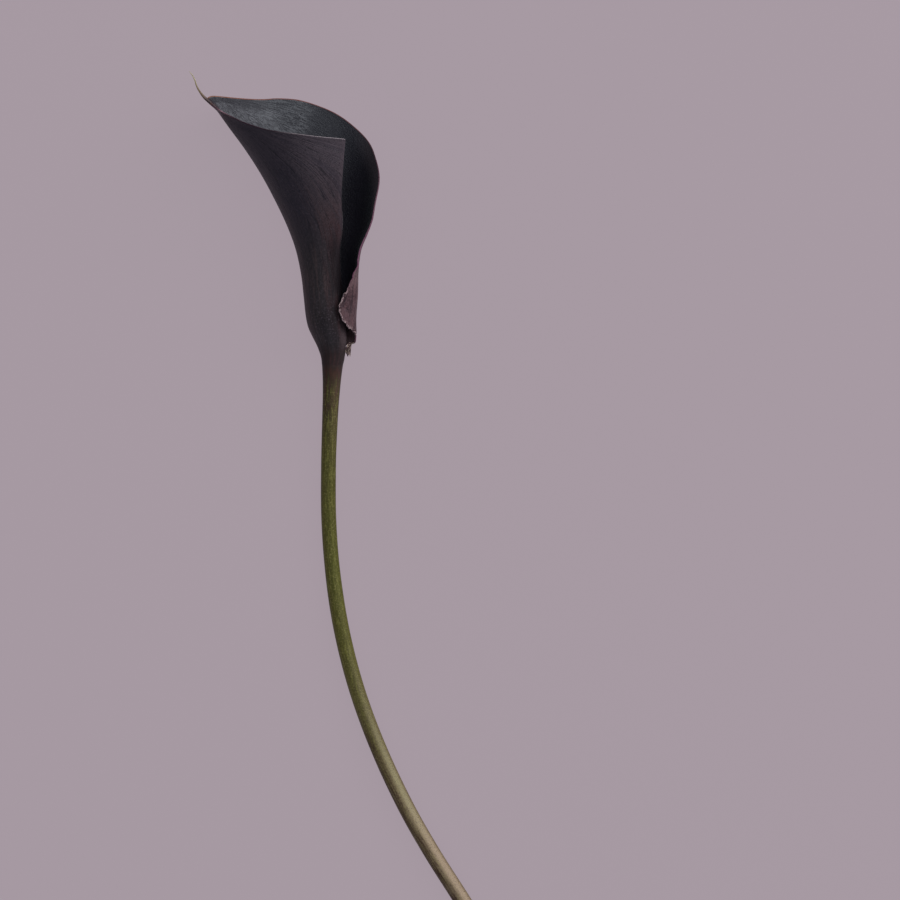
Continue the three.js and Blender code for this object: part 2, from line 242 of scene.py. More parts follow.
def sheet_place(u, v):
    """Turn and height at u across the sheet (0 the inner margin, 1 the outer) and v up it."""
    rise = v ** ROW_CROWDING
    flap_height = rise * UPPER_MARGIN(FOLD_TURN(95.0))
    tightened = 1 - 0.6 * v ** 4  # the fold is tighter towards the flap's corner
    fold_end = FOLD_TURN(flap_height) - FOLD_SPREAD(flap_height) * tightened
    inner = np.minimum(INNER_MARGIN(v), fold_end - 1)
    in_fold = mix(inner, fold_end, u / FLAP_SHARE)
    across_flap = np.clip((u - FLAP_SHARE) / (BACK_SHARE - FLAP_SHARE), 0, 1)
    in_flap = fold_end * (1 - across_flap ** FLAP_CROWDING)
    across_back = np.clip((u - BACK_SHARE) / (1 - BACK_SHARE), 0, 1)
    in_back = LAST_TURN * crowded(across_back, BACK_CROWDING)
    turn = np.where(u < FLAP_SHARE, in_fold, np.where(u < BACK_SHARE, in_flap, in_back))
    return turn, mix(lower_margin(turn), upper_margin(turn), rise)


def sheet_at(u, v):
    """The middle of the sheet at u across it and v up it."""
    turn, height = sheet_place(u, v)
    return sheet_point(turn, height, v)


def sheet_normal(u, v):
    """The direction out of the sheet there."""
    step = 1e-3
    u0, u1 = np.maximum(u - step, 0), np.minimum(u + step, 1)
    v0, v1 = np.maximum(v - step, 0), np.minimum(v + step, 1)
    across = sheet_at(u1, v) - sheet_at(u0, v)
    along = sheet_at(u, v1) - sheet_at(u, v0)
    return unit(np.cross(along, across))


def margin_distance(u, v, points):
    """How far each point is from the nearest margin of the sheet, in millimetres."""
    # Where on the sheet each margin can be the nearest one, and the margin level with the point.
    edges = [
        (u > 0.7, sheet_at(np.ones_like(u), v)),
        (u < 0.2, sheet_at(np.zeros_like(u), v)),
        (v > 0.5, sheet_at(u, np.ones_like(v))),
        (v < 0.5, sheet_at(u, np.zeros_like(v))),
    ]
    far = 50  # for points that aren't near that margin
    near = [np.where(where, np.linalg.norm(points - edge, axis=-1), far) for where, edge in edges]
    return np.minimum.reduce(near)


def lobe_share(turn):
    """1 on the free lobe that is lapped over the front, 0 on the rest of the sheet."""
    return smooth_step(turn, 178, 214)


def lip(turn, height):
    """How far the outer turn stands off below the lobe, in millimetres."""
    return LIP(height) * smooth_step(turn, 126, 172)


def upper_margin(turn):
    """Height of the upper margin, ragged on the lobe."""
    return UPPER_MARGIN(turn) + UPPER_RAG * lobe_share(turn) * ripple(turn, LOBE_CREASES)


def lower_margin(turn):
    """Height of the lower margin, ragged on the lobe."""
    return LOWER_MARGIN(turn) + LOWER_RAG * lobe_share(turn) * ripple(turn + 7, LOBE_CREASES)


def lobe_curl(turn, share):
    """How far the lobe's margins curl and crinkle away from the bloom, in millimetres."""
    span = UPPER_MARGIN(turn) - LOWER_MARGIN(turn)
    from_foot = share ** ROW_CROWDING * span
    from_top = (1 - share ** ROW_CROWDING) * span
    crinkle = LOBE_CURL + LOBE_CRINKLE * ripple(turn * 1.1, LOBE_CREASES)
    near_top = np.exp(-(from_top / UPPER_CURL_DEPTH) ** 2)
    near_foot = np.exp(-(from_foot / LOWER_CURL_DEPTH) ** 2)
    return np.maximum(crinkle, -0.1) * np.minimum(near_top + near_foot, 1) * lobe_share(turn)


# ---- tail, stem, spadix and scrap: sizes ----

# Points along the tail, from its root inside the sheet to its end.
TAIL_POINTS = [
    (-45.1, 99.3, 21.4), (-47.5, 102.6, 21.2), (-49.5, 105.1, 21.1), (-51.4, 107.2, 21),
    (-53.8, 109.3, 21.1), (-56.2, 111.4, 21.6), (-58.1, 113.8, 22.6), (-59.3, 116, 23.8),
    (-60.1, 118.5, 25), (-61, 120.5, 26.1), (-62.5, 122.4, 27.2),
]
# (share of its length, radius).
TAIL_RADIUS = profile([
    (0, 0.15), (0.12, 0.35), (0.24, 0.6), (0.36, 0.8), (0.46, 0.75), (0.56, 0.58), (0.66, 0.4),
    (0.8, 0.27), (0.92, 0.2), (1, 0.08),
])

# By height, which is below 0 on the stem: its x, its radius, how much it swells under the bloom
# before it narrows inside the sheet, and how far it rises from the floor.
STEM_SIDE = profile([
    (-276, 78.4), (-258, 67.2), (-240, 55.8), (-220, 43.1), (-200, 31.8), (-175, 20.1), (-150, 10.8),
    (-125, 4.2), (-100, 0.1), (-75, -1.9), (-50, -2.05), (-30, -1.4), (-15, -0.67), (0, 0),
])
STEM_RADIUS = profile([
    (-276, 3.8), (-235, 3.65), (-190, 3.6), (-160, 3.5), (-110, 3.42), (-90, 3.3), (0, 3.3),
])
STEM_COLLAR = profile([
    (-45, 0), (-32, 0.12), (-22, 0.3), (-15, 0.58), (-11, 0.82), (-8, 1.08), (-7, 1.18), (-6, 1.25),
    (-5, 1.22), (-3.5, 1), (-1, 0.4), (2, 0),
])
STEM_LIFT = profile([(-130, 0), (-95, 0.4), (-60, 1.6), (-30, 3.2), (-11, 4.9), (0, 5.75)])
STEM_TOP, STEM_CUT = 3.0, -276.0
STEM_RIBS = [(9, 0.02, 0.1), (14, 0.015, 0.4), (5, 0.02, 0.8)]  # waves round it
STEM_CROWDING = 1.3  # its rings stand closer together at the neck
FACETS = 16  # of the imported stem, which rests on a flat side
CUT_STEPS = ((0.25, -0.05), (0.5, -0.25), (1.2, -0.1))  # the cut end's rims: (width, depth)

SPADIX_BOTTOM, SPADIX_TOP = 9.0, 60.0
SPADIX_RADIUS = profile([(9, 3.1), (14, 3.7), (24, 3.7), (28, 3.2), (40, 3.3), (54, 2.9), (60, 1.4)])
FLORET_PITCH, FLORET_SPACING, FLORETS_AROUND = 1.25, 1.45, 16
FLORET_RADIUS, FLORET_HEIGHT = 0.62, 0.7  # the radius is a share of the pitch

SCRAP_LINE = [
    (8.2, 4.4, 8.9), (7.3, 3.4, 10), (6.9, 2.2, 10.6), (6.5, 0.8, 10.8), (6.7, -0.6, 10.3),
    (6.8, -1.6, 9.8),
]
SCRAP_HALF_WIDTH, SCRAP_THICKNESS = 1.2, 0.28


# ---- meshes ----

WELD, SEAM = 2e-6, 1e-7  # metres within which vertices are joined


def new_bmesh(*layers):
    """An empty mesh whose vertices will hold the named numbers."""
    bm = bmesh.new()
    for name in layers:
        bm.verts.layers.float.new(name)
    return bm


def unit_grid(bm, columns, rows):
    """A grid from 0 to 1 both ways: its vertices, and their u and v as arrays."""
    verts = bmesh.ops.create_grid(bm, x_segments=columns, y_segments=rows, size=0.5)["verts"]
    place = np.array([vert.co[:2] for vert in verts]) + 0.5
    return verts, place[:, 0], place[:, 1]


def move_to(verts, points):
    """Moves vertices to points given in millimetres from the base of the bloom."""
    for vert, point in zip(verts, (points + BASE) * MM):
        vert.co = point


def write_layers(bm, verts, **layers):
    """Writes numbers for each vertex, for the materials to read."""
    for name, values in layers.items():
        layer = bm.verts.layers.float[name]
        for vert, value in zip(verts, values):
            vert[layer] = value


def spline_through(points, count):
    """Evenly spaced points on a smooth curve through the given ones, and their directions."""
    points = np.array(points, float)
    steps = np.r_[0, np.cumsum(np.linalg.norm(np.diff(points, axis=0), axis=1))]
    share = np.linspace(0, steps[-1], count)
    place = np.stack([profile(list(zip(steps, points[:, k])))(share) for k in range(3)], -1)
    return place, unit(np.gradient(place, axis=0))


def tube(bm, points, directions, sides, size):
    """A tube along points, of radius size(share, angle), in millimetres.

    Returns its vertices with their share of the length and their angle."""
    rows = len(points) - 1
    verts, u, v = unit_grid(bm, sides, rows)
    ring = np.rint(v * rows).astype(int)
    angle = 2 * np.pi * u
    along = directions[ring]
    across = unit(np.cross(along, [0.0, 0.0, 1.0]))
    above = np.cross(across, along)
    radius = size(v, angle)[:, None]
    out = across * np.cos(angle)[:, None] + above * np.sin(angle)[:, None]
    move_to(verts, points[ring] + out * radius)
    return verts, v, angle


def close_tube(bm):
    """Joins a tube's seam and closes its two ends. Returns the end faces."""
    bmesh.ops.remove_doubles(bm, verts=bm.verts, dist=SEAM)
    return bmesh.ops.holes_fill(bm, edges=[e for e in bm.edges if e.is_boundary])["faces"]


def new_object(name, data):
    """An object in the scene."""
    made = bpy.data.objects.new(name, data)
    bpy.context.scene.collection.objects.link(made)
    return made


def mesh_object(bm, name, materials):
    """An object made of the mesh, with its finishes."""
    mesh = bpy.data.meshes.new(name)
    bm.to_mesh(mesh)
    bm.free()
    for material in materials:
        mesh.materials.append(material)
    return new_object(name, mesh)


def finish_mesh(bm, name, materials, replaced=None):
    """Makes a smooth piece that rides on the flower's body."""
    bmesh.ops.recalc_face_normals(bm, faces=bm.faces)
    for face in bm.faces:
        face.smooth = True
    piece = mesh_object(bm, name, materials)
    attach(piece, "root")
    if replaced:
        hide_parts(replaced)


# ---- materials ----

class Wire:
    """An output socket of a shader node. Arithmetic on it adds Math nodes."""

    def __init__(self, tree, socket=None):
        self.tree = tree
        self.socket = socket

    def node(self, kind, settings=None, values=None, output=0):
        """Adds a node: its settings first, then the values or links of its sockets."""
        made = self.tree.nodes.new(kind)
        for name, value in (settings or {}).items():
            if name == "stops":
                ramp = made.color_ramp
                while len(ramp.elements) < len(value):
                    ramp.elements.new(0.5)
                for element, (place, colour) in zip(ramp.elements, value):
                    element.position = place
                    element.color = (*colour, 1)
            else:
                setattr(made, name, value)
        for name, value in (values or {}).items():
            if isinstance(value, Wire):
                self.tree.links.new(value.socket, made.inputs[name])
            else:
                made.inputs[name].default_value = value
        return Wire(self.tree, made.outputs[output])

    def math(self, operation, *values):
        """Adds a Math node."""
        return self.node("ShaderNodeMath", {"operation": operation}, dict(enumerate(values)))

    def __add__(self, other):
        return self.math("ADD", self, other)

    def __sub__(self, other):
        return self.math("SUBTRACT", self, other)

    def __rsub__(self, other):
        return self.math("SUBTRACT", other, self)

    def __mul__(self, other):
        return self.math("MULTIPLY", self, other)

    def __truediv__(self, other):
        return self.math("DIVIDE", self, other)

    __radd__ = __add__
    __rmul__ = __mul__


def new_material(name):
    """A material with a Principled shader, and a Wire to start its nodes from."""
    material = bpy.data.materials.new(name)
    material.use_nodes = True
    return material, Wire(material.node_tree)


def attribute(start, name):
    """A number that the mesh carries at each vertex."""
    return start.node("ShaderNodeAttribute", {"attribute_name": name}, output="Fac")


def ranged(wire, low, high, to_low=0.0, to_high=1.0):
    """A smooth climb from to_low, where the wire is low, to to_high, where it is high."""
    settings = {"interpolation_type": "SMOOTHSTEP"}
    values = {"Value": wire, "From Min": low, "From Max": high, "To Min": to_low, "To Max": to_high}
    return wire.node("ShaderNodeMapRange", settings, values)


def ranged_from(wire, middle, low, high, to_low=0.0, to_high=1.0):
    """The same for the wire's distance from a middle value."""
    return ranged(wire.math("ABSOLUTE", wire - middle), low, high, to_low, to_high)


def noise(vector, scale, detail, roughness, distortion=0.0):
    """The value of fractal noise at a vector."""
    values = {"Vector": vector, "Scale": scale, "Detail": detail, "Roughness": roughness}
    values["Distortion"] = distortion
    return vector.node("ShaderNodeTexNoise", {}, values)


def blended(share, first, second):
    """A colour between two, each a colour or a Wire."""
    first, second = (c if isinstance(c, Wire) else (*c, 1) for c in (first, second))
    values = {"Factor": share, 6: first, 7: second}
    return share.node("ShaderNodeMix", {"data_type": "RGBA"}, values, output=2)


def layered(colour, *layers):
    """A colour with others laid over it: (share, colour) each, the last one on top."""
    for share, tone in layers:
        colour = blended(share, colour, tone)
    return colour


def object_place(start):
    """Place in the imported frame, in metres."""
    return start.node("ShaderNodeTexCoord", output="Object")


def y_of(start):
    """The same, along Y alone."""
    return start.node("ShaderNodeSeparateXYZ", {}, {0: object_place(start)}, output=1)


def height_of(start):
    """Height up the bloom in millimetres."""
    return y_of(start) / MM - BASE[1]


def joined(x, y, z=0.0):
    """A vector of three numbers."""
    return x.node("ShaderNodeCombineXYZ", {}, {0: x, 1: y, 2: z})


def bump(height, distance, strength):
    """A normal bent by a relief that is distance deep, in metres."""
    values = {"Height": height, "Distance": distance, "Strength": strength}
    return height.node("ShaderNodeBump", {}, values)


def finish_material(material, colour, normal, roughness, specular, others=None):
    """Links what varies into the shader, and sets what is the same all over."""
    shader = next(n for n in material.node_tree.nodes if n.type == "BSDF_PRINCIPLED")
    values = {"Base Color": colour, "Roughness": roughness, "Specular IOR Level": specular}
    if normal:
        values["Normal"] = normal
    for name, value in {**values, **(others or {})}.items():
        if isinstance(value, Wire):
            material.node_tree.links.new(value.socket, shader.inputs[name])
        else:
            shader.inputs[name].default_value = value
    return material


def linear(red, green, blue):
    """A screen colour, from 0 to 255, in the linear values that shaders use."""
    def one(c):
        c /= 255
        return c / 12.92 if c <= 0.04045 else ((c + 0.055) / 1.055) ** 2.4
    return one(red), one(green), one(blue)


def ramp(wire, stops):
    """A colour that changes with a number: (number, screen colour) stops."""
    low, high = stops[0][0], stops[-1][0]
    places = [((at - low) / (high - low), linear(*tone)) for at, tone in stops]
    return wire.node("ShaderNodeValToRGB", {"stops": places}, {"Fac": (wire - low) / (high - low)})


def stem_tones(start):
    """The skin of the stem: olive, reddish under the bloom, pinkish brown at the cut."""
    return ramp(height_of(start), [
        (-276, (132, 114, 98)), (-215, (126, 112, 90)), (-170, (100, 91, 62)), (-130, (78, 76, 27)),
        (-95, (70, 72, 14)), (-45, (62, 60, 14)), (-26, (57, 52, 20)), (-16, (49, 41, 26)),
        (-8, (39, 28, 27)), (4, (33, 26, 27)),
    ])


def vein_streaks(start, rate, breaks, waver=0.0):
    """Soft streaks along the veins: rate of them a degree, broken that often in their length."""
    along = joined(attribute(start, "lane") * rate, attribute(start, "rise") * breaks)
    return noise(along, 1, 3, 0.6, waver)


def vein_lines(start, rate, width):
    """Thin irregular lines along the veins: 1 on a line, 0 between."""
    along = joined(attribute(start, "lane") * rate, attribute(start, "rise") * 3, 4)
    return ranged_from(noise(along, 1, 1.5, 0.45, 0.25), 0.5, 0, width, 1, 0)


def rim_layers(start, grain):
    """The thin line along the margins, broken and dotted with pale painted highlights on the lobe's."""
    turn, margin = attribute(start, "turn"), attribute(start, "margin")
    # From the inner margin round to the lobe's. The pale greys up to -78, on the flap's top edge, and
    # the pink at -17, by the tip, are painted highlights.
    tones = ramp(turn, [
        (-120, (146, 140, 146)), (-78, (118, 110, 116)), (-64, (40, 20, 30)), (-30, (50, 22, 36)),
        (-17, (146, 114, 126)), (-9, (74, 42, 56)), (-2, (66, 36, 46)), (6, (152, 104, 72)),
        (50, (134, 78, 56)), (110, (112, 54, 48)), (150, (52, 28, 38)), (176, (88, 48, 66)),
        (192, (106, 64, 90)), (218, (100, 62, 82)), (230, (120, 96, 102)), (251, (150, 126, 130)),
    ])
    lobe_margin = ranged(turn, 184, 196) * ranged(attribute(start, "rise"), 0.25, 0.21)
    gaps = ranged(noise(object_place(start), 360, 2, 0.5), 0.53, 0.45) * lobe_margin
    width = ranged(turn, -90, -60, 0.34, 0.62)
    line = ranged(margin, 0.15, width, 0.95, 0) * ranged(grain, 0.3, 0.6, 0.6, 1)
    fleck_highlights = ranged(margin, 0.4, 1.6, 1, 0) * ranged(grain, 0.5, 0.6) * lobe_margin
    tones = blended(lobe_margin, tones, linear(142, 122, 128))
    return (line * (1 - gaps * 0.85), tones), (fleck_highlights * 0.8, linear(168, 150, 152))


def spathe_outside(look):
    """The outside: bluish black with lighter veins, browner towards the foot, with painted light and
    shade.
    """
    material, start = new_material("spathe_outside")
    turn, rise = attribute(start, "turn"), attribute(start, "rise")
    place = object_place(start)
    grain = noise(place, 1200, 3, 0.7)
    mottle = noise(place, 150, 3, 0.6)
    upper = ranged(rise, 0.3, 0.6)
    broad = vein_streaks(start, 0.07, 2.5)
    fine = vein_streaks(start, 0.3, 9, 0.4) * upper + vein_streaks(start, 0.13, 6) * (1 - upper)
    lines = vein_lines(start, 0.15, 0.03)

    # Painted light: lighter and mauve on the fold's side that faces the key lamp, along the midrib's
    # side, along the top, towards the tip and a little towards the back; the veins lighten it further.
    front_fold = ranged(turn, -54, -94)
    lit_fold_side = front_fold * ranged(rise, 0.33, 0.56, 0.1, 1) * ranged(rise, 0.7, 0.8, 1, 0.8)
    lit_midrib_side = ranged(turn, -44, -16) * ranged(turn, 40, 10) * ranged(rise, 0.2, 0.4, 1.6, 1)
    top = ranged(rise, 0.68, 0.8) * ranged(turn, -36, -66, 0.1, 0.62)
    top = top + ranged(rise, 0.86, 0.95) * 1.3
    light = lit_fold_side * 0.86 + lit_midrib_side * 0.6 + top * 0.5 + ranged(turn, 20, 60, 0, 0.35)
    light = light * ranged(fine * 0.5 + broad * 0.5, 0.36, 0.62, 0.5, 1.4)
    light = light + ranged(fine, 0.46, 0.66, 0, 0.28)
    dark = blended(upper, look.foot_dark, look.outside_dark)
    pale = blended(ranged(rise, 0.4, 0.8), look.foot_light, look.outside_light)
    pale = blended(ranged(rise, 0.88, 0.95, 0, 0.6), pale, linear(70, 50, 60))

    # Marks of the fold, the foot, the neck and the tip: painted shade in the fold, painted light on the
    # foot's flank and a painted highlight by the tip; the rest are a browner side, a darker front of the
    # foot and streaks.
    brown_side = ranged(turn, -70, -100) * ranged(rise, 0.6, 0.4) * ranged(rise, 0.02, 0.1)
    in_fold = ranged(turn, -84, -106) * ranged_from(rise, 0.32, 0.18, 0.06)
    foot = ranged(rise, 0.22, 0.12) * ranged(fine * 0.6 + grain * 0.4, 0.36, 0.6, 0.5, 1.3)
    foot_front = ranged_from(turn, -88, 32, 16)
    lit_foot_flank = ranged(turn, -112, -146) * ranged(rise, 0.2, 0.13)
    foot_streaks = ranged(fine, 0.5, 0.64) * ranged(rise, 0.5, 0.35)
    neck_streaks = ranged(fine, 0.46, 0.62) * ranged(rise, 0.04, -0.03)
    tip_highlight = ranged_from(turn, -4, 13, 6) * ranged(rise, 0.9, 0.945)

    lobe_streaks = vein_streaks(start, 0.22, 7, 0.3) * 0.5 + mottle * 0.2 + grain * 0.3
    lobe = blended(ranged(lobe_streaks, 0.43, 0.56, -0.1, 1.2), linear(58, 39, 43), look.lobe)
    lobe = blended(ranged(rise, 0.22, 0.3) * 0.3, lobe, linear(122, 102, 106))

    blotch, shade = (tuple(c * share for c in look.outside_dark) for share in (0.5, 0.4))
    dust = tuple(c * 1.6 for c in look.outside_light)
    colour = layered(
        # Painted light, with the veins, takes the dark tone towards the pale one.
        blended(light, dark, pale),
        (brown_side * ranged(fine, 0.4, 0.6, 0.1, 0.9), linear(52, 31, 34)),
        (foot_streaks * 0.4, linear(72, 60, 60)),
        (foot * foot_front * 0.75, linear(25, 21, 23)),
        # Painted light on the foot's flank that faces the key lamp.
        (foot * lit_foot_flank * 0.8, linear(74, 62, 64)),
        (attribute(start, "lap"), lobe),
        (ranged(mottle, 0.42, 0.72, 0, 0.22), blotch),
        (ranged(grain, 0.5, 0.7) * (0.3 + foot * 0.35), dust),
        (ranged(grain, 0.5, 0.34, 0, 0.4), shade),
        (lines * ranged(mottle, 0.35, 0.6, 0.85, 0.2), shade),
        # Painted shade where the front flap rolls in, away from the light.
        (in_fold * 0.9, linear(13, 7, 10)),
        # Painted highlight on the margin's roll by the tip.
        (tip_highlight * 0.7, linear(104, 92, 98)),
        (ranged(rise, 0.07, -0.03), stem_tones(start)),
        (neck_streaks * 0.35, linear(62, 36, 37)),
        *rim_layers(start, grain),
    )
    bumped = bump(fine * 0.5 + grain * 0.5 - lines * 0.4, 0.0004, 0.6)
    rough = ranged(grain, 0.25, 0.75, 0.42, 0.62)
    return finish_material(material, colour, bumped, rough, 0.2, {
        "Specular Tint": (0.85, 0.88, 1, 1), "Sheen Weight": 0.015, "Sheen Roughness": 0.5,
        "Sheen Tint": (0.75, 0.75, 0.95, 1),
    })


def spathe_inside(look):
    """The inside: nearly black, with a grey-blue bloom and painted sheen on the back of the mouth."""
    material, start = new_material("spathe_inside")
    turn, rise, margin = (attribute(start, name) for name in ("turn", "rise", "margin"))
    place = object_place(start)
    streaks = vein_streaks(start, 0.09, 2.2)
    crackle = vein_streaks(start, 0.5, 62, 0.5)
    grain = noise(place, 1150, 3, 0.75)
    patches = noise(place, 120, 2, 0.5)

    # The bloom, with painted sheen, is brightest where the light falls on the back of the mouth; it ends
    # on a slant across the back, fades on the far side, and painted shade dims it below the rim and by
    # the tip.
    slant = turn - rise * 170 + 153
    bloom = ranged(slant, 82, 99, 1, 0.1) * ranged(turn, 90, 108, 1, 0.1)
    bloom = bloom * ranged(rise, 0.45, 0.85, 0.05, 1.06) * ranged(rise, 0.86, 0.92, 1, 0.92)
    bloom = bloom * ranged_from(turn, 52, 26, 10, 1, 0.86)
    # Painted shade below the rim, and in a hollow near the tip.
    shade_under_rim = ranged(margin, 0.3, 1.2) * ranged(margin, 5, 2.6) * ranged(turn, 60, 40)
    hollow_shade = ranged_from(turn, 60, 20, 6) * ranged(margin, 7.5, 4)
    bloom = bloom * (1 - shade_under_rim * 0.6) * (1 - hollow_shade * 0.5)
    bloom = bloom * ranged(streaks * 0.45 + patches * 0.55, 0.38, 0.6, 0.6, 1.2)
    bloom = bloom * ranged(crackle * 0.6 + grain * 0.4, 0.42, 0.58, 0.08, 1.22)
    bloom = bloom * ranged(turn, 110, 150, 1, 0.5)

    # Painted shade on the far side's inside, which faces away from the light.
    shaded_far_side = ranged(turn, 98, 118)
    # Painted light on the far side's inside near the margin, where light reaches in.
    lit_near_margin = ranged(turn, 120, 150) * ranged(margin, 15, 1.5) * ranged(rise, 0.2, 0.3)
    # The lip's inside below the lobe: reddish, and painted lighter to lift its deep shade.
    lip_painted_light = ranged(turn, 112, 140) * ranged(rise, 0.15, 0.08)
    # Painted shade in the slit by the tip.
    tip_slit_shade = ranged_from(turn, 8, 9, 4) * ranged(rise, 0.935, 0.96)
    colour = layered(
        # The dark inside, taken towards the bloom's grey-blue with its painted sheen.
        blended(bloom, look.inside_dark, look.inside_painted_sheen),
        (shaded_far_side * 0.75, linear(11, 7, 19)),
        (lit_near_margin * 0.75, linear(58, 52, 58)),
        (lip_painted_light, linear(84, 67, 71)),
        (tip_slit_shade * 0.85, linear(34, 20, 30)),
        *rim_layers(start, grain),
    )
    bumped = bump(grain * 0.4 + crackle * 0.4 + patches * 0.2, 0.0006, 0.8)
    rough = ranged(grain, 0.3, 0.7, 0.45, 0.65)
    return finish_material(material, colour, bumped, rough, 0.4, {
        "Specular Tint": (0.84, 0.92, 1, 1), "Sheen Weight": 0.05, "Sheen Roughness": 0.4,
        "Sheen Tint": (0.8, 0.94, 1, 1),
    })


def stem_skin():
    """The stem: fibres and streaks over its tones, with a painted highlight on the flank that faces the
    light.
    """
    material, start = new_material("stem_skin")
    around, y, height = attribute(start, "around"), y_of(start), height_of(start)
    streak = noise(joined(around * 32, y * 90), 1, 3, 0.6)
    fibres = noise(joined(around * 27, y * 140, 3), 1, 3, 0.6)
    grain = noise(object_place(start), 1500, 3, 0.6)

    # Bands round it: 0 is the +X side, 0.25 the top and 0.5 the -X side.
    right_edge = ranged(around, 0.1, 0.03)
    # The flank where the highlight of the light from the right is painted.
    lit_right_flank = ranged_from(around, 0.16, 0.1, 0.03)
    neck_top = ranged_from(around, 0.27, 0.1, 0.04)
    top = ranged_from(around, 0.28, 0.1, 0.04)
    left_side = ranged_from(around, 0.42, 0.17, 0.08)
    shaded_side = ranged_from(around, 0.5, 0.2, 0.34, 1, 0.3)

    # Stretches of its length, and what lies on them.
    lower = ranged(height, -210, -130, 1, 0.15)
    pale = ranged(height, -205, -140, 0.75, 0)
    neck = ranged_from(height, -14, 18, 7) * ranged(height, -4, -9)
    below_neck = ranged(height, -6, -24)
    streaked = ranged(streak, 0.44, 0.62) * lower * shaded_side * (1 - lit_right_flank * 0.7)
    brown_left = left_side * ranged(height, -176, -150, 0.75, 0)
    # Painted highlight on the upper stem's left side.
    left_highlight = left_side * (1 - lower) * ranged(height, -24, -50)
    dark_neck = neck_top * ranged(height, -6, -12) * ranged(height, -42, -27)
    dark_top = top * ranged(height, -24, -42) * ranged(height, -200, -140)
    green_fibres = ranged(fibres, 0.5, 0.4) * (1 - lower * 0.7) * below_neck
    # Painted light on that flank up towards the neck.
    lit_neck_flank = lit_right_flank * ranged(height, -6, -20) * ranged(height, -60, -30)
    # The painted highlight's colour: pale olive above, pinkish beige towards the cut.
    flank = blended(ranged(height, -190, -225), linear(143, 136, 103), linear(160, 141, 120))
    colour = layered(
        stem_tones(start),
        (streaked * 0.6, linear(70, 50, 42)),
        (brown_left * ranged(streak, 0.3, 0.6, 0.5, 1.2), linear(60, 42, 33)),
        (left_highlight * 0.4, linear(98, 92, 52)),
        (ranged(fibres, 0.46, 0.6) * neck * 0.6, linear(66, 38, 35)),
        (dark_neck * 0.45, linear(40, 32, 22)),
        (dark_top * 0.4, linear(46, 48, 10)),
        (green_fibres * 0.5, linear(102, 102, 47)),
        # Painted highlight on the right flank, strongest on the lower stem.
        (lit_right_flank * pale, flank),
        (right_edge * pale * 0.6, linear(98, 84, 60)),
        (lit_neck_flank * 0.14, linear(100, 84, 66)),
        (ranged(grain, 0.5, 0.72, 0, 0.3) * below_neck, linear(150, 142, 96)),
        (ranged(grain, 0.48, 0.3, 0, 0.45), linear(44, 36, 24)),
    )
    bumped = bump(streak * 0.8 + grain * 0.2, 0.00012, 0.5)
    rough = ranged(grain, 0.2, 0.8, 0.4, 0.55)
    return finish_material(material, colour, bumped, rough, 0.2)


def cut_tissue():
    """The cut end: pale cells with brown stains."""
    material, start = new_material("cut_tissue")
    place = object_place(start)
    cells = start.node("ShaderNodeTexVoronoi", {}, {"Vector": place, "Scale": 2300.0})
    soft = noise(place, 500, 3, 0.6)
    colour = blended(ranged(cells, 0.1, 0.6), linear(150, 150, 105), linear(206, 204, 168))
    colour = blended(ranged(soft, 0.5, 0.75, 0, 0.5), colour, linear(140, 118, 84))
    return finish_material(material, colour, bump(cells, 0.0003, 0.8), 0.6, 0.4)


def spadix_grain():
    """The spadix: red-brown between its florets, ochre on them and dusted with pollen."""
    material, start = new_material("spadix_florets")
    dust = noise(object_place(start), 1400, 3, 0.6)
    dome = ranged(attribute(start, "dome"), 0.2, 0.9)
    colour = blended(dome, linear(66, 36, 34), linear(146, 104, 60))
    colour = blended(ranged(dust, 0.5, 0.7, 0, 0.7), colour, linear(184, 154, 96))
    return finish_material(material, colour, bump(dust, 0.0002, 0.6), 0.8, 0.25)


def withered_skin():
    """The withered scrap: brown with pale spots."""
    material, start = new_material("withered_skin")
    spots = noise(object_place(start), 900, 4, 0.65)
    colour = blended(ranged(spots, 0.48, 0.6), linear(62, 42, 47), linear(140, 128, 118))
    return finish_material(material, colour, bump(spots, 0.0003, 0.8), 0.75, 0.3)


def tail_skin():
    """The tail: purple at its root, straw-coloured towards its end."""
    material, start = new_material("tail_skin")
    fleck = noise(object_place(start), 1200, 3, 0.6)
    colour = ramp(height_of(start), [
        (104, (34, 24, 32)), (109, (42, 27, 35)), (110.5, (62, 46, 46)), (112, (98, 80, 66)),
        (115.5, (120, 106, 78)), (119, (158, 152, 112)), (122.5, (172, 164, 134)),
    ])
    colour = blended(ranged(fleck, 0.5, 0.7, 0, 0.4), colour, linear(74, 56, 52))
    return finish_material(material, colour, bump(fleck, 0.0001, 0.5), 0.5, 0.4)


def floor_finish(look, glow):
    """The plain floor. A share of its light, glow, comes from below, so that it keeps one tone."""
    material, start = new_material("floor_panel")
    fibre = ranged(noise(object_place(start), 420, 3, 0.6), 0.3, 0.7)
    tone = tuple(look.floor)
    matt = [tuple(c * (1 - glow) * shade for c in tone) for shade in (1, 0.98)]
    return finish_material(material, blended(fibre, *matt), None, 0.95, 0, {
        "Emission Color": (*tone, 1), "Emission Strength": glow,
    })


# ---- settings ----

def colour_property(name, description, default):
    return bpy.props.FloatVectorProperty(
        name=name, description=description, subtype="COLOR", size=3, min=0, max=1, default=default)


def number_property(name, description, default, low=0, **others):
    return bpy.props.FloatProperty(
        name=name, description=description, default=default, min=low, **others)


def length_property(*settings):
    return number_property(*settings, unit="LENGTH")


